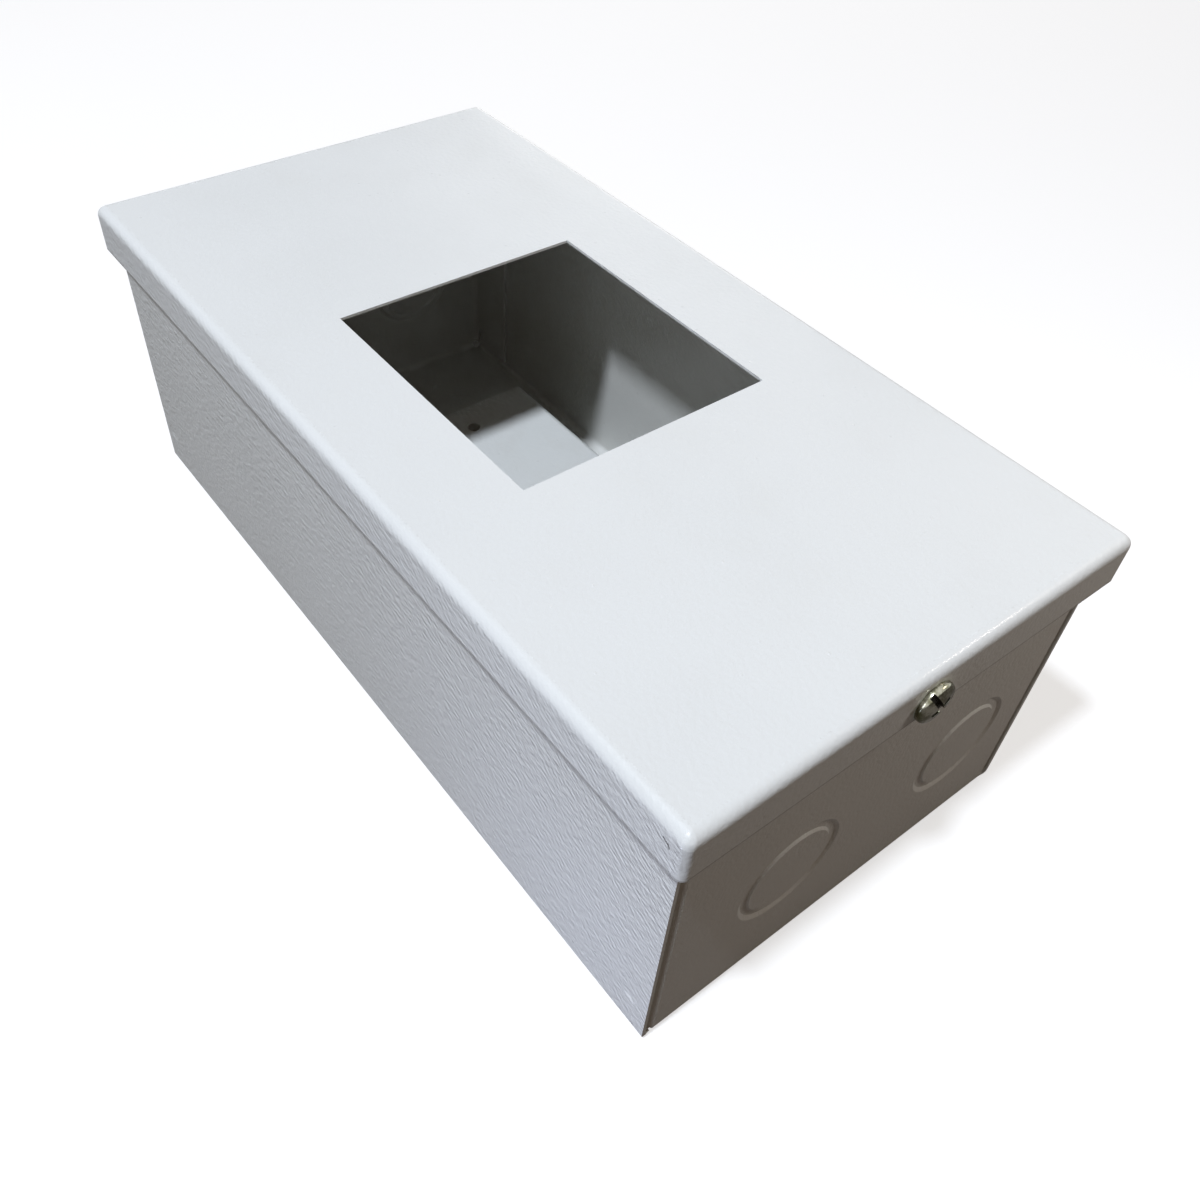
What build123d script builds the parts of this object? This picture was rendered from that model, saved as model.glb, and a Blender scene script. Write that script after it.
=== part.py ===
from build123d import *
import os

# Painted sheet-steel box for a moulded-case breaker: a folded body, a skirted lift-off cover
# with a window, a welded-in hat bracket that carries the device, and two cover screws.
# Millimetres. Origin at the centre of the back, +X along the box, +Z out of the wall.

# Cover
COVER_LENGTH = 272.0
COVER_WIDTH = 140.0
TOTAL_HEIGHT = 98.0
SKIRT_DEPTH = 14.0
COVER_SHEET = 0.8
COVER_BEND_RADIUS = 3.0
COVER_CORNER_RADIUS = 2.0
COVER_GAP = 2.7
WINDOW_LENGTH = 85.0
WINDOW_WIDTH = 77.6

# Body
BODY_SHEET = 1.0
BODY_BEND_RADIUS = 3.0
CORNER_RELIEF = 0.6
CORNER_EASING = 3.3
TAB_LENGTH = 18.0
TAB_FOOT_HEIGHT = 3.4
TAB_FOOT_CUT = 6.0
SPOT_INSET = 6.0
SPOT_HEIGHT = 15.0
SPOT_RADIUS = 2.6
SPOT_DEPTH = 0.35

# Knockouts in both ends, a pair of stepped blanks that sits a little off the centre line
KNOCKOUT_PITCH = 61.5
KNOCKOUT_OFFSET = 4.8
KNOCKOUT_HEIGHT = 39.5
KNOCKOUT_OUTER = 32.5
KNOCKOUT_INNER = 25.5
KNOCKOUT_STEP = 0.6
KNOCKOUT_OUTER_SLOPE = 1.2
KNOCKOUT_INNER_SLOPE = 0.6

# Holes for the wall screws, on the centre line of the back
WALL_HOLE = 7.0
WALL_HOLE_PITCH = 224.0

# Hat bracket for the device
BRACKET_LENGTH = 132.0
BRACKET_WIDTH = 80.0
BRACKET_TOP = 30.0
BRACKET_SHEET = 1.5
BRACKET_BEND_RADIUS = 2.5
BRACKET_FOOT = 13.0
DEVICE_PITCH_LONG = 111.0
DEVICE_PITCH_WIDE = 25.0
DEVICE_HOLE = 4.3
COLLAR_WALL = 0.9
COLLAR_DROP = 1.8

# Cover screws and the nuts welded behind the body's rim
SCREW_OFFSET = 0.0
SCREW_FROM_TOP = 9.6
SCREW_SHANK = 6.0
SCREW_LENGTH = 12.0
SCREW_HEAD = 11.0
SCREW_HEAD_HEIGHT = 2.8
SCREW_CROWN_RISE = 1.1
SCREW_SHOULDER = 0.7
SCREW_TURN = -55.0
SCREW_HOLE_CLEARANCE = 0.3
SLOT_WIDTH = 1.5
SLOT_DEPTH = 1.7
CROSS_SPAN = 5.6
CROSS_WIDTH = 1.5
CROSS_DEPTH = 2.2
NUT_ACROSS_FLATS = 10.0
NUT_THICKNESS = 5.0
THREAD_CLEARANCE = 0.1
EDGE_BREAK = 0.6

BODY_LENGTH = COVER_LENGTH - 2 * (COVER_SHEET + COVER_GAP)
BODY_WIDTH = COVER_WIDTH - 2 * (COVER_SHEET + COVER_GAP)
BODY_HEIGHT = TOTAL_HEIGHT - COVER_SHEET
SCREW_HEIGHT = TOTAL_HEIGHT - SCREW_FROM_TOP
SCREW_HOLE = SCREW_SHANK + 2 * SCREW_HOLE_CLEARANCE
ENDS = (("near", 1), ("far", -1))


def box_between(x0, x1, y0, y1, z0, z1):
    """A block between two corners."""
    centre = ((x0 + x1) / 2, (y0 + y1) / 2, (z0 + z1) / 2)
    return Pos(*centre) * Box(abs(x1 - x0), abs(y1 - y0), abs(z1 - z0))


def folded(points, sheet, radius):
    """Cross-section of sheet folded along a line at mid thickness, with one outer bend radius."""
    middle = FilletPolyline(*points, radius=radius - sheet / 2)
    return trace(middle, line_width=sheet)


def channel_section(width, height, sheet, radius):
    """An open-topped U of folded sheet that stands on the x axis."""
    side = (width - sheet) / 2
    line = [(-side, height), (-side, sheet / 2), (side, sheet / 2), (side, height)]
    return folded(line, sheet, radius)


def rod_along_x(x0, x1, y, z, diameter):
    """A round bar along X, for bores and shanks."""
    bar = Cylinder(diameter / 2, abs(x1 - x0), rotation=(0, 90, 0))
    return Pos((x0 + x1) / 2, y, z) * bar


def rod_along_y(x, y0, y1, z, radius):
    """A round bar along Y, for rounding and boring."""
    bar = Cylinder(radius, abs(y1 - y0), rotation=(90, 0, 0))
    return Pos(x, (y0 + y1) / 2, z) * bar


def corner_weld(side, wall):
    """Weld metal that closes one lower corner, half a sheet behind the outer faces."""
    x_bend = side * (BODY_LENGTH / 2 - BODY_BEND_RADIUS)
    y_bend = wall * (BODY_WIDTH / 2 - BODY_BEND_RADIUS)
    reach = BODY_BEND_RADIUS - BODY_SHEET / 2
    weld = box_between(
        x_bend, x_bend + side * reach,
        y_bend - wall * CORNER_RELIEF, y_bend + wall * reach,
        BODY_SHEET / 2, TAB_FOOT_HEIGHT,
    )
    weld &= rod_along_x(x_bend, x_bend + side * reach, y_bend, BODY_BEND_RADIUS, 2 * reach)
    return weld & rod_along_y(x_bend, y_bend - wall, y_bend + wall * reach, BODY_BEND_RADIUS, reach)


def corner_easing(side, wall):
    """What is taken off the lower corner of one long wall, so that it is not sharp."""
    x_bend = side * (BODY_LENGTH / 2 - BODY_BEND_RADIUS)
    y_inner = wall * (BODY_WIDTH / 2 - BODY_BEND_RADIUS - CORNER_RELIEF / 2)
    y_outer = wall * (BODY_WIDTH / 2 + 1)
    block = box_between(x_bend, side * (BODY_LENGTH / 2 + 1), y_inner, y_outer, -1, BODY_BEND_RADIUS)
    return block - rod_along_y(x_bend, y_inner - wall, y_outer + wall, BODY_BEND_RADIUS, CORNER_EASING)


def folded_walls():
    """The base with its walls, bent up from one cross-shaped blank, its lower corners welded."""
    half_length = BODY_LENGTH / 2
    bend_start = BODY_WIDTH / 2 - BODY_BEND_RADIUS
    long_way = channel_section(BODY_WIDTH, BODY_HEIGHT, BODY_SHEET, BODY_BEND_RADIUS)
    sides = extrude(Plane.YZ * long_way, amount=half_length, both=True)
    for side in (1, -1):
        sides -= box_between(
            side * (half_length - BODY_BEND_RADIUS), side * (half_length + 1),
            -bend_start, bend_start,
            -1, BODY_BEND_RADIUS,
        )
    cross_way = channel_section(BODY_LENGTH, BODY_HEIGHT, BODY_SHEET, BODY_BEND_RADIUS)
    ends = extrude(Plane.XZ * cross_way, amount=bend_start - CORNER_RELIEF, both=True)
    walls = sides + ends
    for side in (1, -1):
        for wall in (1, -1):
            walls += corner_weld(side, wall)
            walls -= corner_easing(side, wall)
    return walls


def end_wall_tabs(side):
    """Side tabs of one end wall, folded in against the long walls and welded there."""
    wall_inside = BODY_WIDTH - 2 * BODY_SHEET
    depth = TAB_LENGTH + BODY_BEND_RADIUS
    section = channel_section(wall_inside, depth, BODY_SHEET, BODY_BEND_RADIUS)
    tabs = extrude(section, amount=BODY_HEIGHT - TAB_FOOT_HEIGHT)
    tabs = Pos(side * BODY_LENGTH / 2, 0, TAB_FOOT_HEIGHT) * Rot(0, 0, 90 * side) * tabs
    tip = side * (BODY_LENGTH / 2 - BODY_BEND_RADIUS - CORNER_RELIEF)
    for wall in (1, -1):
        corner = Polyline(
            (tip, wall * wall_inside / 2, TAB_FOOT_HEIGHT),
            (tip - side * TAB_FOOT_CUT, wall * wall_inside / 2, TAB_FOOT_HEIGHT),
            (tip, wall * wall_inside / 2, TAB_FOOT_HEIGHT + TAB_FOOT_CUT),
            close=True,
        )
        tabs -= extrude(make_face(corner), amount=BODY_SHEET, dir=(0, -wall, 0))
    return tabs


def pressed_ring(face, side, y):
    """The groove that one face of an end wall takes where the ring is pressed, with sloping flanks."""
    floor = face - side * KNOCKOUT_STEP
    profile = Polyline(
        (face, 0, KNOCKOUT_OUTER / 2),
        (floor, 0, KNOCKOUT_OUTER / 2 - KNOCKOUT_OUTER_SLOPE),
        (floor, 0, KNOCKOUT_INNER / 2 + KNOCKOUT_INNER_SLOPE),
        (face, 0, KNOCKOUT_INNER / 2),
        close=True,
    )
    return Pos(0, y, KNOCKOUT_HEIGHT) * revolve(make_face(profile), axis=Axis.X)


def knockout(shell, side, y):
    """One concentric blank: its ring is pressed in by part of the sheet and its middle is flush."""
    outside = side * BODY_LENGTH / 2
    inside = outside - side * BODY_SHEET
    return shell + pressed_ring(inside, side, y) - pressed_ring(outside, side, y)


def make_body():
    """The open box that goes on the wall."""
    shell = folded_walls()
    for _, side in ENDS:
        shell += end_wall_tabs(side)
    for _, side in ENDS:
        for y in (KNOCKOUT_OFFSET - KNOCKOUT_PITCH / 2, KNOCKOUT_OFFSET + KNOCKOUT_PITCH / 2):
            shell = knockout(shell, side, y)
        outside = side * BODY_LENGTH / 2
        shell -= rod_along_x(
            outside - side * 2 * BODY_SHEET, outside + side, SCREW_OFFSET, SCREW_HEIGHT, SCREW_HOLE,
        )
        shell -= Pos(side * WALL_HOLE_PITCH / 2, 0, 0) * Cylinder(WALL_HOLE / 2, 4 * BODY_SHEET)
        for wall in (1, -1):
            ball_radius = (SPOT_RADIUS**2 + SPOT_DEPTH**2) / (2 * SPOT_DEPTH)
            shell -= Pos(
                side * (BODY_LENGTH / 2 - SPOT_INSET),
                wall * (BODY_WIDTH / 2 + ball_radius - SPOT_DEPTH),
                SPOT_HEIGHT,
            ) * Sphere(ball_radius)
    return shell


def make_cover():
    """The lid: a tray of folded sheet with welded corners and a square-cut window."""
    skirt_foot = TOTAL_HEIGHT - SKIRT_DEPTH
    tray = box_between(
        -COVER_LENGTH / 2, COVER_LENGTH / 2, -COVER_WIDTH / 2, COVER_WIDTH / 2,
        skirt_foot, TOTAL_HEIGHT,
    )
    tray = fillet(tray.edges().filter_by(Axis.Z), COVER_CORNER_RADIUS)
    tray = fillet(tray.faces().sort_by(Axis.Z)[-1].edges(), COVER_BEND_RADIUS)
    hollow = box_between(
        -COVER_LENGTH / 2 + COVER_SHEET, COVER_LENGTH / 2 - COVER_SHEET,
        -COVER_WIDTH / 2 + COVER_SHEET, COVER_WIDTH / 2 - COVER_SHEET,
        skirt_foot - 1, TOTAL_HEIGHT - COVER_SHEET,
    )
    hollow = fillet(hollow.edges().filter_by(Axis.Z), COVER_CORNER_RADIUS - COVER_SHEET)
    hollow = fillet(hollow.faces().sort_by(Axis.Z)[-1].edges(), COVER_BEND_RADIUS - COVER_SHEET)
    cover = tray - hollow
    cover -= box_between(
        -WINDOW_LENGTH / 2, WINDOW_LENGTH / 2, -WINDOW_WIDTH / 2, WINDOW_WIDTH / 2,
        skirt_foot, TOTAL_HEIGHT + 1,
    )
    for _, side in ENDS:
        outside = side * COVER_LENGTH / 2
        cover -= rod_along_x(
            outside - side * 2 * COVER_SHEET, outside + side, SCREW_OFFSET, SCREW_HEIGHT, SCREW_HOLE,
        )
    return cover


def make_bracket():
    """The hat bracket: legs along both sides, feet spot-welded to the base, four tapped collars."""
    foot = BODY_SHEET + BRACKET_SHEET / 2
    crown = BRACKET_TOP - BRACKET_SHEET / 2
    leg = (BRACKET_WIDTH - BRACKET_SHEET) / 2
    toe = BRACKET_WIDTH / 2 + BRACKET_FOOT
    line = [(-toe, foot), (-leg, foot), (-leg, crown), (leg, crown), (leg, foot), (toe, foot)]
    hat = folded(line, BRACKET_SHEET, BRACKET_BEND_RADIUS)
    bracket = extrude(Plane.YZ * hat, amount=BRACKET_LENGTH / 2, both=True)
    under = BRACKET_TOP - BRACKET_SHEET
    for x in (-DEVICE_PITCH_LONG / 2, DEVICE_PITCH_LONG / 2):
        for y in (-DEVICE_PITCH_WIDE / 2, DEVICE_PITCH_WIDE / 2):
            tube = Cylinder(DEVICE_HOLE / 2 + COLLAR_WALL, 2 * COLLAR_DROP) & box_between(
                -DEVICE_HOLE, DEVICE_HOLE, -DEVICE_HOLE, DEVICE_HOLE, -COLLAR_DROP, BRACKET_SHEET / 2,
            )
            bracket += Pos(x, y, under) * tube
            bracket -= Pos(x, y, under) * Cylinder(DEVICE_HOLE / 2, 4 * COLLAR_DROP)
    return bracket


def make_screw(side):
    """A pan-head machine screw with a slot and a cross in its head, head outwards."""
    crown_radius = ((SCREW_HEAD / 2) ** 2 + SCREW_CROWN_RISE**2) / (2 * SCREW_CROWN_RISE)
    outline = Pos(0, SCREW_HEAD_HEIGHT / 2) * Rectangle(SCREW_HEAD, SCREW_HEAD_HEIGHT)
    outline &= Pos(0, SCREW_HEAD_HEIGHT - crown_radius) * Circle(crown_radius)
    outline = chamfer(outline.vertices().group_by(Axis.Y)[-1], SCREW_SHOULDER)
    outline &= Pos(SCREW_HEAD / 2, 0) * Rectangle(SCREW_HEAD, 3 * SCREW_HEAD_HEIGHT)
    head = revolve(Plane.XZ * outline, axis=Axis.Z)
    shank = Pos(0, 0, -SCREW_LENGTH / 2) * Cylinder(SCREW_SHANK / 2, SCREW_LENGTH)
    shank = chamfer(shank.edges().sort_by(Axis.Z)[0], EDGE_BREAK)
    screw = head + shank
    screw -= Pos(0, 0, SCREW_HEAD_HEIGHT - SLOT_DEPTH / 2) * Box(SLOT_WIDTH, 2 * SCREW_HEAD, SLOT_DEPTH)
    screw -= Pos(0, 0, SCREW_HEAD_HEIGHT - CROSS_DEPTH / 2) * Box(CROSS_SPAN, CROSS_WIDTH, CROSS_DEPTH)
    screw -= Pos(0, 0, SCREW_HEAD_HEIGHT - CROSS_DEPTH / 2) * Box(CROSS_WIDTH, CROSS_SPAN, CROSS_DEPTH)
    seat = Pos(side * COVER_LENGTH / 2, SCREW_OFFSET, SCREW_HEIGHT)
    return seat * Rot(0, 90 * side, 0) * Rot(0, 0, SCREW_TURN) * screw


def make_nut(side):
    """A hexagon weld nut on the inside of an end wall, flats level with the rim."""
    blank = RegularPolygon(NUT_ACROSS_FLATS / 2, 6, major_radius=False, rotation=0)
    nut = extrude(blank, amount=NUT_THICKNESS)
    nut -= Cylinder(SCREW_SHANK / 2 + THREAD_CLEARANCE, 3 * NUT_THICKNESS)
    seat = side * (BODY_LENGTH / 2 - BODY_SHEET)
    return Pos(seat, SCREW_OFFSET, SCREW_HEIGHT) * Rot(0, -90 * side, 0) * Rot(0, 0, 30) * nut


pieces = {
    "body": make_body(),
    "cover": make_cover(),
    "device_bracket": make_bracket(),
}
for end_name, end_side in ENDS:
    pieces["cover_screw_" + end_name] = make_screw(end_side)
    pieces["weld_nut_" + end_name] = make_nut(end_side)

os.makedirs("parts", exist_ok=True)
for node_name, node_shape in pieces.items():
    export_step(node_shape, "parts/" + node_name + ".step")
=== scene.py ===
import bpy, bmesh, math
from mathutils import Matrix, Vector


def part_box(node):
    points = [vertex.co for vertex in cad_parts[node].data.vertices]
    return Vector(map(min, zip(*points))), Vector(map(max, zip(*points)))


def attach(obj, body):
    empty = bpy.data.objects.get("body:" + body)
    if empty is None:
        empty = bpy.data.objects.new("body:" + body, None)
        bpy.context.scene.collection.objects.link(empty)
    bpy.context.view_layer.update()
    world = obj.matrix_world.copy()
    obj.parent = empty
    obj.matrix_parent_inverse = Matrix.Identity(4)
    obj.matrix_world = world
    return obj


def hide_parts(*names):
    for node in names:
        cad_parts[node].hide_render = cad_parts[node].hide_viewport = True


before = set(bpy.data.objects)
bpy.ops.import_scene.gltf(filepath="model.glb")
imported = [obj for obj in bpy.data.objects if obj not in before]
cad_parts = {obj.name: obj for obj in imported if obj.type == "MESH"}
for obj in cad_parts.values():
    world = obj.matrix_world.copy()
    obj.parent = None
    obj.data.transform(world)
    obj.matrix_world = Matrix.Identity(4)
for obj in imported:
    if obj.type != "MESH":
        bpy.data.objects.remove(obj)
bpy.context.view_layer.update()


# The body is a deep tray of folded sheet steel: the end walls' tabs are spot welded inside the
# long walls, and weld closes the lower corners. It is powder coated light grey, thinner inside,
# with a peel that is drawn out on the long walls, and low lumps of weld down each corner.

def feed(tree, socket, value):
    """Joins an input to another node's output, or sets it where the value is plain."""
    if isinstance(value, bpy.types.NodeSocket):
        tree.links.new(value, socket)
    else:
        socket.default_value = value


def put(tree, kind, ins=None, **settings):
    """Adds a node with its settings, and feeds the inputs that are given."""
    made = tree.nodes.new(kind)
    for name, value in settings.items():
        setattr(made, name, value)
    for key, value in (ins or {}).items():
        feed(tree, made.inputs[key], value)
    return made


def math_of(tree, operation, first, second=0.0, third=0.0):
    ins = {0: first, 1: second, 2: third}
    return put(tree, "ShaderNodeMath", ins, operation=operation).outputs[0]


def ramp_of(tree, value, low, high, to_low=0.0, to_high=1.0):
    """A soft step of a value from one level to another."""
    ins = {"Value": value, "From Min": low, "From Max": high, "To Min": to_low, "To Max": to_high}
    return put(tree, "ShaderNodeMapRange", ins, interpolation_type="SMOOTHSTEP").outputs[0]


def mix_of(tree, share, first, second):
    """A mix of two colours, whose sockets stand behind those for numbers and vectors."""
    ins = {0: share, 6: first, 7: second}
    return put(tree, "ShaderNodeMix", ins, data_type="RGBA").outputs[2]


def noise_of(tree, where, scale, detail, roughness=0.5):
    ins = {"Vector": where, "Scale": scale, "Detail": detail, "Roughness": roughness}
    return put(tree, "ShaderNodeTexNoise", ins).outputs[0]


def object_place(tree):
    return put(tree, "ShaderNodeTexCoord").outputs["Object"]


def parts_of(tree, vector):
    return put(tree, "ShaderNodeSeparateXYZ", {0: vector}).outputs


def surface_normal(tree):
    return parts_of(tree, put(tree, "ShaderNodeNewGeometry").outputs["Normal"])


def new_group(name, takes, gives):
    """A shader node group with named inputs, as (name, kind, start value), and named outputs."""
    group = bpy.data.node_groups.new(name, "ShaderNodeTree")
    for label, kind, start in takes:
        made = group.interface.new_socket(
            name=label, in_out="INPUT", socket_type="NodeSocket" + kind)
        made.default_value = start
    for label, kind in gives:
        group.interface.new_socket(name=label, in_out="OUTPUT", socket_type="NodeSocket" + kind)
    given = group.nodes.new("NodeGroupInput").outputs
    return group, given, group.nodes.new("NodeGroupOutput").inputs


# The peel of a powder coat: fine swells drawn out on a slant, on longer waves, and a few nibs.
powder_peel, takes, gives = new_group(
    "powder_peel",
    [("Swells per metre", "Float", 620.0), ("Long waves", "Float", 0.5), ("Nibs", "Float", 0.3)],
    [("Height", "Float"), ("Nib mask", "Float")],
)
PEEL_SLANT = (0.0, 0.57, 0.0)
PEEL_STRETCH = (1.9, 1.0, 0.85)
WAVES_PER_SWELL = 0.21
NIBS_PER_SWELL = 0.55
NIB_CORE, NIB_RIM = 0.10, 0.24
NIBS_START, NIBS_FULL = 0.94, 0.97

where = object_place(powder_peel)
drawn = put(powder_peel, "ShaderNodeMapping", {
    "Vector": where, "Rotation": PEEL_SLANT, "Scale": PEEL_STRETCH},
    vector_type="TEXTURE").outputs[0]
swells = noise_of(powder_peel, drawn, scale=takes["Swells per metre"], detail=2.2)
wave_scale = math_of(powder_peel, "MULTIPLY", takes["Swells per metre"], WAVES_PER_SWELL)
waves = noise_of(powder_peel, where, scale=wave_scale, detail=1.0)
nib_scale = math_of(powder_peel, "MULTIPLY", takes["Swells per metre"], NIBS_PER_SWELL)
cells = put(powder_peel, "ShaderNodeTexVoronoi", {
    "Vector": where, "Scale": nib_scale, "Randomness": 1.0}).outputs
near_spot = ramp_of(powder_peel, cells["Distance"], NIB_CORE, NIB_RIM, to_low=1.0, to_high=0.0)
chosen = put(powder_peel, "ShaderNodeSeparateColor", {"Color": cells["Color"]}).outputs[0]
rare = ramp_of(powder_peel, chosen, NIBS_START, NIBS_FULL)
nib_mask = math_of(powder_peel, "MULTIPLY", near_spot, rare)
height = math_of(powder_peel, "MULTIPLY_ADD", waves, takes["Long waves"], swells)
height = math_of(powder_peel, "MULTIPLY_ADD", nib_mask, takes["Nibs"], height)
feed(powder_peel, gives["Height"], height)
feed(powder_peel, gives["Nib mask"], nib_mask)

# The tone of the coat: slow drifts in colour, and dust that has settled on what faces up.
coat_tone, takes, gives = new_group(
    "coat_tone",
    [("Coat", "Color", (0.8, 0.8, 0.8, 1)), ("Drift", "Color", (0.7, 0.7, 0.7, 1)),
     ("Dust", "Color", (0.5, 0.47, 0.42, 1)), ("Dust amount", "Float", 0.1),
     ("Gloss", "Float", 0.35)],
    [("Colour", "Color"), ("Roughness", "Float")],
)
FINE_SHARE = 0.16
SLOW_SHARE_OF_GLOSS = 0.10
DUST_DULLS = 0.5

where = object_place(coat_tone)
slow = noise_of(coat_tone, where, scale=14.0, detail=3.0, roughness=0.55)
fine = noise_of(coat_tone, where, scale=900.0, detail=1.0)
drift = math_of(coat_tone, "MULTIPLY_ADD", fine, FINE_SHARE, slow)
drift = ramp_of(coat_tone, drift, low=0.42, high=0.78)
tone = mix_of(coat_tone, drift, takes["Coat"], takes["Drift"])
faces_up = ramp_of(coat_tone, surface_normal(coat_tone)["Z"], low=0.5, high=1.0)
patches = noise_of(coat_tone, where, scale=55.0, detail=5.0, roughness=0.62)
patches = ramp_of(coat_tone, patches, low=0.45, high=0.75)
dust = math_of(coat_tone, "MULTIPLY", faces_up, patches)
dust = math_of(coat_tone, "MULTIPLY", dust, takes["Dust amount"])
rough = math_of(coat_tone, "MULTIPLY_ADD", slow, SLOW_SHARE_OF_GLOSS, takes["Gloss"])
feed(coat_tone, gives["Colour"], mix_of(coat_tone, dust, tone, takes["Dust"]))
feed(coat_tone, gives["Roughness"], math_of(coat_tone, "MULTIPLY_ADD", dust, DUST_DULLS, rough))

# Beads of weld under the coat, down the four upright corners of a box.
corner_weld, takes, gives = new_group(
    "corner_weld",
    [("Half length", "Float", 0.1), ("Half width", "Float", 0.05), ("Reach", "Float", 0.004),
     ("Lumps per metre", "Float", 300.0)],
    [("Mask", "Float"), ("Height", "Float")],
)
where = object_place(corner_weld)
parts = parts_of(corner_weld, where)
along = math_of(
    corner_weld, "SUBTRACT", math_of(corner_weld, "ABSOLUTE", parts["X"]), takes["Half length"])
across = math_of(
    corner_weld, "SUBTRACT", math_of(corner_weld, "ABSOLUTE", parts["Y"]), takes["Half width"])
gap = math_of(corner_weld, "SQRT", math_of(
    corner_weld, "ADD", math_of(corner_weld, "MULTIPLY", along, along),
    math_of(corner_weld, "MULTIPLY", across, across)))
near = ramp_of(corner_weld, math_of(corner_weld, "DIVIDE", gap, takes["Reach"]),
               low=0.15, high=1.0, to_low=1.0, to_high=0.0)
lumps = noise_of(corner_weld, where, scale=takes["Lumps per metre"], detail=2.0, roughness=0.6)
level = math_of(corner_weld, "ABSOLUTE", surface_normal(corner_weld)["Z"])
upright = math_of(corner_weld, "SUBTRACT", 1.0, level)
upright = ramp_of(corner_weld, upright, low=0.35, high=0.8)
mask = math_of(corner_weld, "MULTIPLY", near, upright)
feed(corner_weld, gives["Mask"], mask)
feed(corner_weld, gives["Height"], math_of(corner_weld, "MULTIPLY", mask, lumps))

LONG_WAVES, NIB_RISE = 0.15, 0.25
LONG_WALL_FROM, LONG_WALL_TO = 0.92, 0.99
FLAT_PEEL, DRAWN_PEEL = 0.3, 1.0
PLAIN_GLAZE, NIB_GLAZE = 0.1, 1.0


def coat_material(name, coat, drift_to, dust, dust_amount, gloss, swells, depth,
                  weld=None, bead_rise=0.0, glaze_roughness=0.1):
    """A powder coat whose peel is full on the long walls. Returns its material and key nodes."""
    made = bpy.data.materials.new(name)
    made.use_nodes = True
    tree = made.node_tree
    tree.nodes.clear()
    shader = put(tree, "ShaderNodeBsdfPrincipled", {
        "IOR": 1.5, "Specular IOR Level": 0.36, "Coat Roughness": glaze_roughness,
        "Coat IOR": 1.5})
    put(tree, "ShaderNodeOutputMaterial", {"Surface": shader.outputs[0]})
    tones = put(tree, "ShaderNodeGroup", {
        "Coat": coat, "Drift": drift_to, "Dust": dust, "Dust amount": dust_amount,
        "Gloss": gloss}, node_tree=coat_tone).outputs
    peel = put(tree, "ShaderNodeGroup", {
        "Swells per metre": swells, "Long waves": LONG_WAVES, "Nibs": NIB_RISE},
        node_tree=powder_peel).outputs
    rise, seam = peel["Height"], None
    if weld:
        beads = put(tree, "ShaderNodeGroup", weld, node_tree=corner_weld).outputs
        rise = math_of(tree, "MULTIPLY_ADD", beads["Height"], bead_rise, rise)
        seam = beads["Mask"]
    sideways = math_of(tree, "ABSOLUTE", surface_normal(tree)["Y"])
    strength = ramp_of(
        tree, sideways, LONG_WALL_FROM, LONG_WALL_TO, to_low=FLAT_PEEL, to_high=DRAWN_PEEL)
    strength = math_of(tree, "MAXIMUM", strength, peel["Nib mask"])
    bump = put(tree, "ShaderNodeBump", {"Strength": strength, "Distance": depth, "Height": rise})
    feed(tree, shader.inputs["Base Color"], tones["Colour"])
    feed(tree, shader.inputs["Roughness"], tones["Roughness"])
    feed(tree, shader.inputs["Normal"], bump.outputs[0])
    feed(tree, shader.inputs["Coat Weight"], math_of(
        tree, "MULTIPLY_ADD", peel["Nib mask"], NIB_GLAZE - PLAIN_GLAZE, PLAIN_GLAZE))
    return {"material": made, "tree": tree, "shader": shader, "colour": tones["Colour"],
            "rise": rise, "seam": seam, "strength": strength, "bump": bump}


def dress(node_name, paint):
    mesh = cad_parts[node_name].data
    mesh.materials.clear()
    mesh.materials.append(paint["material"])


body_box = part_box("body")
SETTLED_DUST = (0.50, 0.47, 0.41, 1)
INNER_COAT = (0.61, 0.61, 0.58, 1)
SEAM_SHADOW = (0.20, 0.18, 0.15, 1)
SEAM_SHARE = 0.10
INNER_FROM, INNER_TO = 0.00085, 0.00070
INNER_FLOOR_FROM, INNER_FLOOR_TO = 0.0004, 0.0006
INNER_PEEL_LOSS = 0.75

body_paint = coat_material(
    "body_paint", coat=(0.69, 0.70, 0.68, 1), drift_to=(0.665, 0.675, 0.655, 1),
    dust=SETTLED_DUST, dust_amount=0.20, gloss=0.36, swells=900.0, depth=0.00062,
    weld={"Half length": body_box[1].x - 0.0006, "Half width": body_box[1].y - 0.0022,
          "Reach": 0.0019, "Lumps per metre": 380.0},
    bead_rise=0.8)
tree = body_paint["tree"]
where = parts_of(tree, object_place(tree))
within = ramp_of(tree, where["Z"], INNER_FLOOR_FROM, INNER_FLOOR_TO)
for axis, wall in (("X", body_box[1].x), ("Y", body_box[1].y)):
    inside = ramp_of(tree, math_of(tree, "ABSOLUTE", where[axis]),
                     wall - INNER_FROM, wall - INNER_TO, to_low=1.0, to_high=0.0)
    within = math_of(tree, "MULTIPLY", within, inside)
thin_coat = mix_of(tree, within, body_paint["colour"], INNER_COAT)
# Painted shade: the coat is darkened a little along each corner seam, where the groove lies in
# shade.
shade = math_of(tree, "MULTIPLY", body_paint["seam"], SEAM_SHARE)
feed(tree, body_paint["shader"].inputs["Base Color"], mix_of(tree, shade, thin_coat, SEAM_SHADOW))
peel_left = math_of(tree, "MULTIPLY_ADD", within, -INNER_PEEL_LOSS, 1.0)
feed(tree, body_paint["bump"].inputs["Strength"],
     math_of(tree, "MULTIPLY", body_paint["strength"], peel_left))
dress("body", body_paint)


# The bracket is a shallow channel of thicker sheet, spot welded to the floor of the body.
# It lifts the breaker to the window, and is coated in the same bath as the body.

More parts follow.
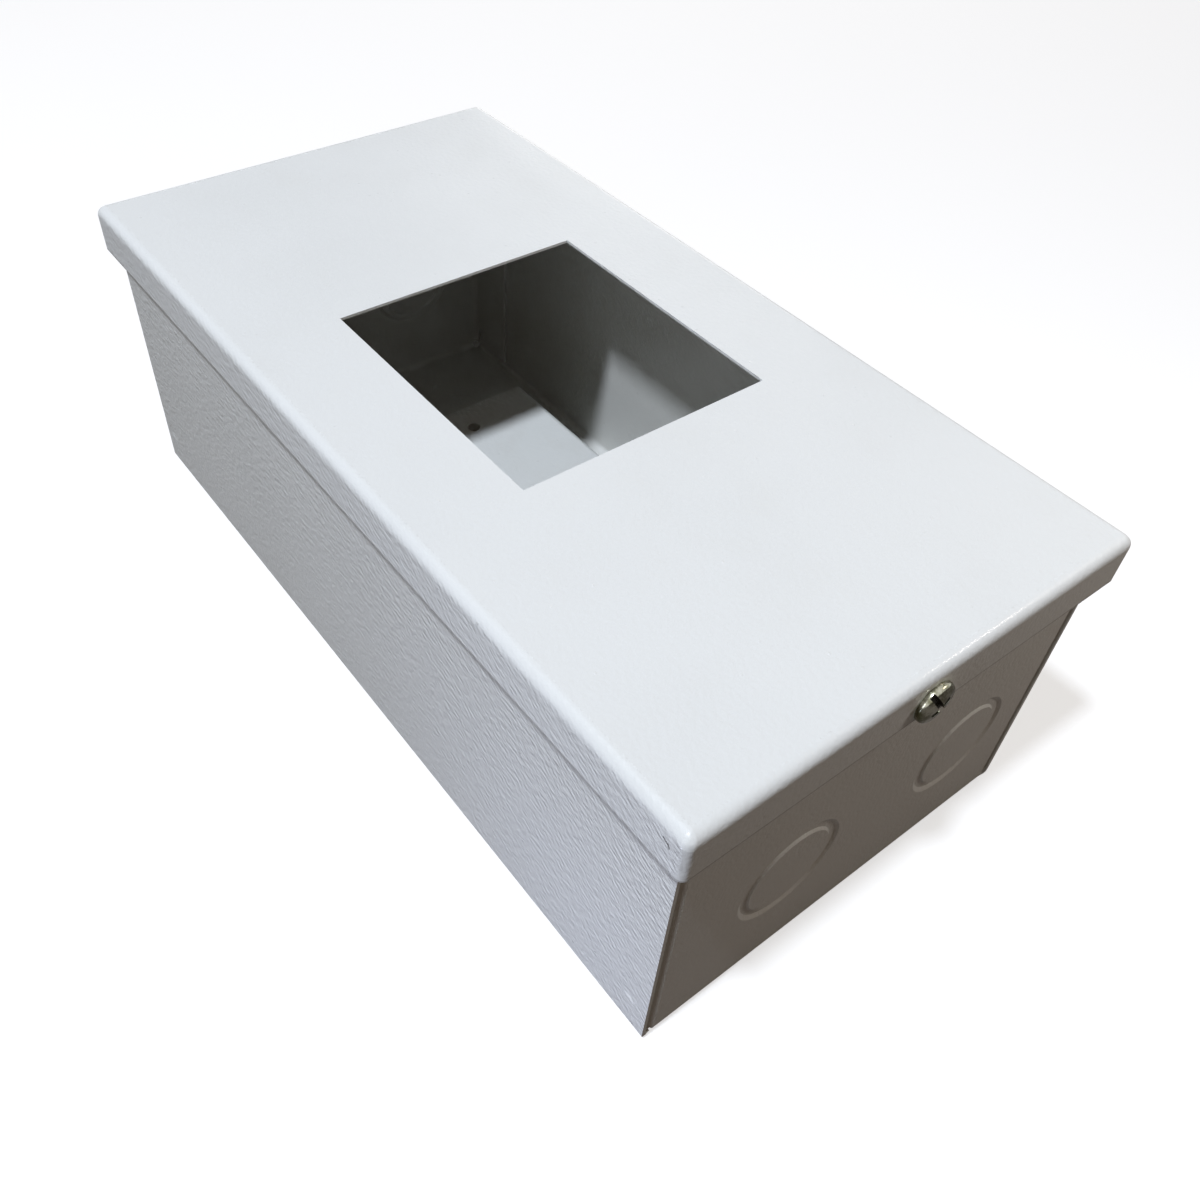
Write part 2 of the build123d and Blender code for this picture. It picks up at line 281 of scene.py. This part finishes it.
bracket_paint = coat_material(
    "bracket_paint", coat=(0.66, 0.67, 0.65, 1), drift_to=(0.62, 0.63, 0.61, 1),
    dust=SETTLED_DUST, dust_amount=0.16, gloss=0.30, swells=700.0, depth=0.00045)
dress("device_bracket", bracket_paint)


# A hexagon weld nut sits inside each end wall, level with the cover screw.
# It was welded on before coating, so paint mist covers it and steel shows at its corners.

BARE_STEEL = (0.42, 0.41, 0.38, 1)

nut_paint = coat_material(
    "nut_paint", coat=(0.66, 0.67, 0.65, 1), drift_to=(0.58, 0.59, 0.57, 1),
    dust=SETTLED_DUST, dust_amount=0.1, gloss=0.42, swells=900.0, depth=0.00008)
tree = nut_paint["tree"]
mist = noise_of(tree, object_place(tree), scale=520.0, detail=3.0)
feed(tree, nut_paint["shader"].inputs["Base Color"],
     mix_of(tree, ramp_of(tree, mist, low=0.60, high=0.72), nut_paint["colour"], BARE_STEEL))
for node_name in ("weld_nut_near", "weld_nut_far"):
    dress(node_name, nut_paint)


# The cover is a lid of folded sheet with a shallow skirt, and a window for the breaker's front.
# Its corners are welded and ground before coating, and the near one still shows grey streaks.
# The long skirt has one small chip beside it, and a painted shadow darkens the skirt's lower edge.

def spot_mask(tree, where, centre, turn, size):
    """A soft-edged oval patch on a surface: its centre, turn and half sizes in metres."""
    local = put(tree, "ShaderNodeMapping", {
        "Vector": where, "Location": centre, "Rotation": turn, "Scale": size},
        vector_type="TEXTURE").outputs[0]
    distance = put(tree, "ShaderNodeVectorMath", {0: local}, operation="LENGTH").outputs["Value"]
    return ramp_of(tree, distance, low=0.7, high=1.1, to_low=1.0, to_high=0.0)


cover_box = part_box("cover")
GROUND_WELD = (0.33, 0.33, 0.33, 1)
CHIPPED = (0.20, 0.19, 0.18, 1)
SKIRT_EDGE_SHADOW = (0.16, 0.15, 0.14, 1)
GREY_SHARE, GREY_RISE = 0.28, 0.12
CHIP_SHARE, CHIP_DEPTH = 0.7, 2.0
EDGE_SHADOW_SHARE, EDGE_FULL, EDGE_END = 0.45, 0.0004, 0.0007

cover_paint = coat_material(
    "cover_paint", coat=(0.70, 0.715, 0.705, 1), drift_to=(0.68, 0.695, 0.685, 1),
    dust=(0.60, 0.57, 0.51, 1), dust_amount=0.05, gloss=0.38, swells=840.0, depth=0.00046,
    weld={"Half length": cover_box[1].x - 0.0012, "Half width": cover_box[1].y - 0.0012,
          "Reach": 0.0042, "Lumps per metre": 430.0},
    bead_rise=0.3, glaze_roughness=0.06)
tree = cover_paint["tree"]
where = object_place(tree)
chip = spot_mask(tree, where, centre=(0.1303, cover_box[0].y, 0.0925), turn=(0.0, 0.65, 0.0),
                 size=(0.0009, 0.0008, 0.00030))
tail = spot_mask(tree, where, centre=(0.1313, cover_box[0].y, 0.0917), turn=(0.0, 1.25, 0.0),
                 size=(0.0008, 0.0008, 0.00025))
marks = math_of(tree, "MAXIMUM", chip, tail)
upright_grain = put(tree, "ShaderNodeMapping", {
    "Vector": where, "Scale": (1.0, 1.0, 0.3)}).outputs[0]
streaks = noise_of(tree, upright_grain, scale=900.0, detail=3.0, roughness=0.6)
streaks = ramp_of(tree, streaks, low=0.50, high=0.62)
near_corner = spot_mask(tree, where, centre=(cover_box[1].x, cover_box[0].y, 0.0905),
                        turn=(0.0, 0.0, 0.0), size=(0.0034, 0.0034, 0.0050))
grey = math_of(tree, "MULTIPLY", near_corner, streaks)
# Painted shadow: a thin dark band along the skirt's lower edge stands in for the shade just under
# the skirt.
skirt_edge_shadow = ramp_of(tree, parts_of(tree, where)["Z"], cover_box[0].z + EDGE_FULL,
               cover_box[0].z + EDGE_END, to_low=EDGE_SHADOW_SHARE, to_high=0.0)
finish = mix_of(tree, math_of(tree, "MULTIPLY", grey, GREY_SHARE), cover_paint["colour"],
                GROUND_WELD)
finish = mix_of(tree, math_of(tree, "MULTIPLY", marks, CHIP_SHARE), finish, CHIPPED)
feed(tree, cover_paint["shader"].inputs["Base Color"], mix_of(tree, skirt_edge_shadow, finish, SKIRT_EDGE_SHADOW))
sunk = math_of(tree, "MULTIPLY_ADD", marks, -CHIP_DEPTH, cover_paint["rise"])
feed(tree, cover_paint["bump"].inputs["Height"],
     math_of(tree, "MULTIPLY_ADD", grey, GREY_RISE, sunk))
dress("cover", cover_paint)


# Two pan-head machine screws hold the cover at its ends, each in a weld nut behind the wall.
# They are turned steel with a rolled thread, zinc plated with a yellow cast, and their heads
# take a blade as well as a cross driver.

screw_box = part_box("cover_screw_near")
SEAT = cover_box[1].x
SCREW_Y = (screw_box[0].y + screw_box[1].y) / 2
SCREW_Z = (screw_box[0].z + screw_box[1].z) / 2
HEAD_RADIUS = (screw_box[1].z - screw_box[0].z) / 2
HEAD_HEIGHT = screw_box[1].x - SEAT
HEAD_RIM = 0.0002
CROWN_RISE = 0.0011
SHOULDER = 0.0012
ARC_STEPS = 8
SHANK_RADIUS = 0.00265
NECK = 0.0003
TIP = 0.0005
THREAD_RADIUS = 0.00297
THREAD_PITCH = 0.001
THREAD_START = 0.0008
THREAD_LENGTH = 0.0102
SCREW_LENGTH = 0.012
BLADE_TURN = math.radians(35.0)


def settle(name, work):
    """Turns a working form into an object of the scene."""
    mesh = bpy.data.meshes.new(name)
    work.to_mesh(mesh)
    work.free()
    made = bpy.data.objects.new(name, mesh)
    bpy.context.scene.collection.objects.link(made)
    return made


def turned(name, outline, sides=72):
    """A lathe-turned form about Z. The outline runs from the axis at the top to the axis below."""
    work = bmesh.new()
    rings = []
    for radius, level in outline:
        angles = [2 * math.pi * n / sides for n in range(sides if radius else 1)]
        rings.append([work.verts.new((radius * math.cos(angle), radius * math.sin(angle), level))
                      for angle in angles])
    for upper, lower in zip(rings, rings[1:]):
        for n in range(sides):
            m = (n + 1) % sides
            corners = []
            for vertex in (upper[n % len(upper)], lower[n % len(lower)],
                           lower[m % len(lower)], upper[m % len(upper)]):
                if vertex not in corners:
                    corners.append(vertex)
            work.faces.new(corners)
    bmesh.ops.recalc_face_normals(work, faces=work.faces)
    for face in work.faces:
        face.smooth = True
    return settle(name, work)


def rounded_block(name, size, centre, turn, edge):
    """A block with eased edges, turned about Z."""
    work = bmesh.new()
    bmesh.ops.create_cube(work, size=1.0)
    bmesh.ops.scale(work, vec=size, verts=work.verts)
    bmesh.ops.bevel(work, geom=list(work.edges), offset=edge, segments=3, affect="EDGES")
    bmesh.ops.rotate(work, cent=(0, 0, 0), matrix=Matrix.Rotation(turn, 3, "Z"), verts=work.verts)
    bmesh.ops.translate(work, vec=centre, verts=work.verts)
    return settle(name, work)


crown_radius = (HEAD_RADIUS ** 2 + CROWN_RISE ** 2) / (2 * CROWN_RISE)
crown_angle = math.asin((HEAD_RADIUS - SHOULDER) / (crown_radius - SHOULDER))
shoulder_level = HEAD_HEIGHT - crown_radius + (crown_radius - SHOULDER) * math.cos(crown_angle)
outline = [(0.0, HEAD_HEIGHT)]
for step in range(1, ARC_STEPS + 1):
    angle = crown_angle * step / ARC_STEPS
    outline.append((crown_radius * math.sin(angle),
                    HEAD_HEIGHT - crown_radius * (1 - math.cos(angle))))
for step in range(1, ARC_STEPS + 1):
    angle = crown_angle + (math.pi / 2 - crown_angle) * step / ARC_STEPS
    outline.append((HEAD_RADIUS - SHOULDER * (1 - math.sin(angle)),
                    shoulder_level + SHOULDER * math.cos(angle)))
outline += [
    (HEAD_RADIUS, HEAD_RIM), (HEAD_RADIUS - HEAD_RIM, 0.0),
    (SHANK_RADIUS + NECK, 0.0), (SHANK_RADIUS, -NECK),
    (SHANK_RADIUS, TIP - SCREW_LENGTH), (SHANK_RADIUS - TIP, -SCREW_LENGTH),
    (0.0, -SCREW_LENGTH),
]
screw_blank = turned("screw_blank", outline)

crown = (0, 0, HEAD_HEIGHT)
cutters = [
    rounded_block("blade_slot", (0.0150, 0.0015, 0.0034), crown, BLADE_TURN, 0.00012),
    rounded_block("cross_one", (0.0056, 0.0015, 0.0044), crown, BLADE_TURN, 0.00025),
    rounded_block("cross_two", (0.0015, 0.0056, 0.0044), crown, BLADE_TURN, 0.00025),
]
for cutter in cutters:
    cut = screw_blank.modifiers.new("recess", "BOOLEAN")
    cut.operation = "DIFFERENCE"
    cut.solver = "EXACT"
    cut.object = cutter
ease = screw_blank.modifiers.new("worn_edges", "BEVEL")
ease.width = 0.00009
ease.segments = 2
ease.limit_method = "ANGLE"
ease.angle_limit = math.radians(38.0)
view = bpy.context.evaluated_depsgraph_get()
recessed = bpy.data.meshes.new_from_object(screw_blank.evaluated_get(view))
screw_blank.modifiers.clear()
screw_blank.data = recessed
for cutter in cutters:
    bpy.data.objects.remove(cutter)

# The zinc: pale and yellowish, darker and greener where the plating is thin, and painted shade
# darkens the recess.
BRIGHT_ZINC = (0.50, 0.49, 0.40, 1)
THIN_ZINC = (0.12, 0.115, 0.055, 1)
RECESS_SHADE = (0.030, 0.026, 0.018, 1)
SHOULDER_FALL = 1.6
ZINC_ROUGHNESS, CLOUDS_DULL, RECESS_DULLS = 0.10, 0.20, 0.45

screw_zinc = bpy.data.materials.new("screw_zinc")
screw_zinc.use_nodes = True
tree = screw_zinc.node_tree
tree.nodes.clear()
zinc = put(tree, "ShaderNodeBsdfPrincipled", {"Metallic": 1.0})
put(tree, "ShaderNodeOutputMaterial", {"Surface": zinc.outputs[0]})
where = object_place(tree)
clouds = noise_of(tree, where, scale=330.0, detail=4.0, roughness=0.6)
grit = noise_of(tree, where, scale=2600.0, detail=2.0)
plating = mix_of(tree, ramp_of(tree, clouds, low=0.38, high=0.66), BRIGHT_ZINC, THIN_ZINC)
parts = parts_of(tree, where)
outward = math_of(tree, "ABSOLUTE", parts["X"])
off_y = math_of(tree, "SUBTRACT", parts["Y"], SCREW_Y)
off_z = math_of(tree, "SUBTRACT", parts["Z"], SCREW_Z)
square = math_of(tree, "ADD", math_of(tree, "MULTIPLY", off_y, off_y),
                 math_of(tree, "MULTIPLY", off_z, off_z))
dome = math_of(tree, "MULTIPLY_ADD", square, -0.5 / crown_radius, SEAT + HEAD_HEIGHT)
sunk = math_of(tree, "SUBTRACT", dome, outward)
beyond = math_of(tree, "SUBTRACT", math_of(tree, "SQRT", square), HEAD_RADIUS - SHOULDER)
beyond = math_of(tree, "MAXIMUM", beyond, 0.0)
sunk = math_of(tree, "MULTIPLY_ADD", beyond, -SHOULDER_FALL, sunk)
# Painted shade: the blade and cross recess is darkened wherever it sinks below the crown.
recess_shade = math_of(tree, "MULTIPLY", ramp_of(tree, sunk, low=0.00010, high=0.00040),
                ramp_of(tree, outward, low=SEAT + 0.0004, high=SEAT + 0.0006))
worn = math_of(tree, "MULTIPLY_ADD", clouds, CLOUDS_DULL, ZINC_ROUGHNESS)
bump = put(tree, "ShaderNodeBump", {"Strength": 0.5, "Distance": 0.00001, "Height": grit})
feed(tree, zinc.inputs["Base Color"], mix_of(tree, recess_shade, plating, RECESS_SHADE))
feed(tree, zinc.inputs["Roughness"], math_of(tree, "MULTIPLY_ADD", recess_shade, RECESS_DULLS, worn))
feed(tree, zinc.inputs["Normal"], bump.outputs[0])

# Puts a rolled thread on the blank, and one screw at each end of the cover, heads outwards.
screw_tree = bpy.data.node_groups.new("screw_at_each_end", "GeometryNodeTree")
screw_tree.is_modifier = True
for label, kind in (("Blank", "Geometry"), ("Seat", "Float"), ("Side step", "Float"),
                    ("Level", "Float"), ("Root radius", "Float"), ("Crest radius", "Float"),
                    ("Pitch", "Float"), ("Thread length", "Float"), ("Finish", "Material")):
    screw_tree.interface.new_socket(name=label, in_out="INPUT", socket_type="NodeSocket" + kind)
screw_tree.interface.new_socket(
    name="Screws", in_out="OUTPUT", socket_type="NodeSocketGeometry")
given = screw_tree.nodes.new("NodeGroupInput").outputs
result = screw_tree.nodes.new("NodeGroupOutput").inputs
turns = math_of(screw_tree, "DIVIDE", given["Thread length"], given["Pitch"])
ridge = math_of(screw_tree, "SUBTRACT", given["Crest radius"], given["Root radius"])
middle = math_of(screw_tree, "MULTIPLY_ADD", ridge, 0.25, given["Root radius"])
helix = put(screw_tree, "GeometryNodeCurveSpiral", {
    "Resolution": 28, "Rotations": turns, "Start Radius": middle, "End Radius": middle,
    "Height": given["Thread length"]}).outputs[0]
profile = put(screw_tree, "GeometryNodeCurvePrimitiveCircle", {
    "Resolution": 3, "Radius": math_of(screw_tree, "MULTIPLY", ridge, 0.75)}).outputs[0]
thread = put(screw_tree, "GeometryNodeCurveToMesh", {
    "Curve": helix, "Profile Curve": profile, "Fill Caps": True}).outputs[0]
drop = put(screw_tree, "ShaderNodeCombineXYZ", {
    "Z": math_of(screw_tree, "SUBTRACT", -THREAD_START, given["Thread length"])}).outputs[0]
thread = put(screw_tree, "GeometryNodeTransform", {
    "Geometry": thread, "Translation": drop}).outputs[0]
whole = screw_tree.nodes.new("GeometryNodeJoinGeometry")
for shape in (thread, given["Blank"]):
    screw_tree.links.new(shape, whole.inputs[0])
start = put(screw_tree, "ShaderNodeCombineXYZ", {
    "X": math_of(screw_tree, "MULTIPLY", given["Seat"], -1.0), "Y": given["Side step"],
    "Z": given["Level"]}).outputs[0]
apart = put(screw_tree, "ShaderNodeCombineXYZ", {
    "X": math_of(screw_tree, "MULTIPLY", given["Seat"], 2.0)}).outputs[0]
ends = put(screw_tree, "GeometryNodeMeshLine", {
    "Count": 2, "Start Location": start, "Offset": apart}).outputs[0]
order = screw_tree.nodes.new("GeometryNodeInputIndex").outputs[0]
tilt = math_of(screw_tree, "MULTIPLY_ADD", order, math.pi, -math.pi / 2)
turn = put(screw_tree, "FunctionNodeEulerToRotation", {
    0: put(screw_tree, "ShaderNodeCombineXYZ", {"Y": tilt}).outputs[0]}).outputs[0]
placed = put(screw_tree, "GeometryNodeInstanceOnPoints", {
    "Points": ends, "Instance": whole.outputs[0], "Rotation": turn}).outputs[0]
real = put(screw_tree, "GeometryNodeRealizeInstances", {0: placed}).outputs[0]
finished = put(screw_tree, "GeometryNodeSetMaterial", {
    "Geometry": real, "Material": given["Finish"]}).outputs[0]
feed(screw_tree, result["Screws"], finished)

fit = screw_blank.modifiers.new("fit", "NODES")
fit.node_group = screw_tree
values = {"Seat": SEAT, "Side step": SCREW_Y, "Level": SCREW_Z, "Root radius": SHANK_RADIUS,
          "Crest radius": THREAD_RADIUS, "Pitch": THREAD_PITCH, "Thread length": THREAD_LENGTH,
          "Finish": screw_zinc}
for item in screw_tree.interface.items_tree:
    if item.in_out == "INPUT" and item.name in values:
        fit[item.identifier] = values[item.name]
view = bpy.context.evaluated_depsgraph_get()
threaded = bpy.data.meshes.new_from_object(screw_blank.evaluated_get(view))
screw_blank.modifiers.clear()
cover_screws = bpy.data.objects.new("cover_screws", threaded)
bpy.context.scene.collection.objects.link(cover_screws)
bpy.data.objects.remove(screw_blank)
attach(cover_screws, "root")
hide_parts("cover_screw_near", "cover_screw_far")


# The box stands on a plain pale table, in a dim warm room, under a key lamp over its long side.
# A side lamp and a low lamp rake that side, an end lamp rakes the near end, and a weak lamp
# stands behind. The table is pale to the eye, but sends little light back onto the box.

def show_background(tree, plain, shown, mirrored):
    """Mixes a plain shader with what the camera, mirrors and glass are shown."""
    path = put(tree, "ShaderNodeLightPath").outputs
    soft = math_of(tree, "MAXIMUM", path["Is Glossy Ray"], path["Is Transmission Ray"])
    soft = math_of(tree, "MULTIPLY", soft, mirrored)
    share = math_of(tree, "MAXIMUM", path["Is Camera Ray"], soft)
    return put(tree, "ShaderNodeMixShader", {0: share, 1: plain, 2: shown}).outputs[0]


WHITE = (1, 1, 1, 1)
TABLE_HALF = 4
TABLE_PALE = (0.45, 0.45, 0.45, 1)
TABLE_DARK = (0.045, 0.029, 0.019, 1)
TABLE_GLOW = 0.62
TABLE_MIRRORED = 0.12
ROOM_WARM = (0.093, 0.062, 0.036, 1)

table_mesh = bpy.data.meshes.new("table")
table_mesh.from_pydata(
    [(-TABLE_HALF, -TABLE_HALF, 0), (TABLE_HALF, -TABLE_HALF, 0),
     (TABLE_HALF, TABLE_HALF, 0), (-TABLE_HALF, TABLE_HALF, 0)], [], [(0, 1, 2, 3)])
table = bpy.data.objects.new("table", table_mesh)
bpy.context.scene.collection.objects.link(table)
table_top = bpy.data.materials.new("table_top")
table_top.use_nodes = True
tree = table_top.node_tree
tree.nodes.clear()
dim = put(tree, "ShaderNodeBsdfDiffuse", {"Color": TABLE_DARK}).outputs[0]
lit = put(tree, "ShaderNodeBsdfDiffuse", {"Color": TABLE_PALE}).outputs[0]
glow = put(tree, "ShaderNodeEmission", {"Color": WHITE, "Strength": TABLE_GLOW}).outputs[0]
pale = put(tree, "ShaderNodeAddShader", {0: lit, 1: glow}).outputs[0]
put(tree, "ShaderNodeOutputMaterial", {
    "Surface": show_background(tree, dim, pale, TABLE_MIRRORED)})
table_mesh.materials.append(table_top)

room = bpy.data.worlds.new("room")
bpy.context.scene.world = room
room.use_nodes = True
tree = room.node_tree
tree.nodes.clear()
walls = put(tree, "ShaderNodeBackground", {"Color": ROOM_WARM, "Strength": 1.0}).outputs[0]
white = put(tree, "ShaderNodeBackground", {"Color": WHITE, "Strength": 1.0}).outputs[0]
put(tree, "ShaderNodeOutputWorld", {"Surface": show_background(tree, walls, white, 1.0)})


def lamp(name, place_at, aim, size, power, colour):
    """A round lamp that faces its aim and stays out of the picture."""
    data = bpy.data.lights.new(name, "AREA")
    data.shape = "DISK"
    data.size = size
    data.energy = power
    data.color = colour
    made = bpy.data.objects.new(name, data)
    facing = (Vector(place_at) - Vector(aim)).to_track_quat("Z", "Y").to_matrix().to_4x4()
    made.matrix_world = Matrix.Translation(place_at) @ facing
    made.visible_camera = False
    bpy.context.scene.collection.objects.link(made)


lamp("key_lamp", place_at=(0.130, -0.696, 1.598), aim=(0.0, 0.0, 0.06),
     size=0.15, power=29.4, colour=(0.831, 0.897, 1.0))
lamp("side_lamp", place_at=(0.125, -0.75, 0.16), aim=(0.08, -0.07, 0.05),
     size=0.35, power=1.0, colour=(0.88, 0.92, 1.0))
lamp("low_lamp", place_at=(0.118, -0.170, 0.012), aim=(0.118, -0.066, 0.020),
     size=0.04, power=0.037, colour=(0.72, 0.80, 1.15))
lamp("end_lamp", place_at=(0.26, 0.22, 0.29), aim=(0.1325, 0.02, 0.07),
     size=0.06, power=0.27, colour=(1.0, 0.92, 0.84))
lamp("back_lamp", place_at=(-0.9, 0.9, 0.35), aim=(0.0, 0.0, 0.05),
     size=0.7, power=3.0, colour=(1.0, 0.97, 0.93))

# The camera looks down on the near corner, a hand's length away, and is rolled a little.
AZIMUTH, ELEVATION, ROLL = math.radians(49.13), math.radians(46.67), math.radians(4.40)
CAMERA_AT = (0.20075, -0.15664, 0.27156)

back = Vector((math.sin(AZIMUTH) * math.cos(ELEVATION), -math.cos(AZIMUTH) * math.cos(ELEVATION),
               math.sin(ELEVATION)))
level_right = (-back).cross(Vector((0, 0, 1))).normalized()
level_up = level_right.cross(-back)
right = level_right * math.cos(ROLL) + level_up * math.sin(ROLL)
up = level_up * math.cos(ROLL) - level_right * math.sin(ROLL)
lens = bpy.data.cameras.new("camera")
lens.sensor_width = 36.0
lens.lens = 33.772
lens.shift_x = 0.01881
lens.shift_y = -0.00128
lens.clip_start = 0.01
camera = bpy.data.objects.new("camera", lens)
turned_to = Matrix((right, up, back)).transposed().to_4x4()
camera.matrix_world = Matrix.Translation(CAMERA_AT) @ turned_to
bpy.context.scene.collection.objects.link(camera)
bpy.context.scene.camera = camera
bpy.context.scene.view_settings.view_transform = "Standard"

bpy.context.view_layer.update()
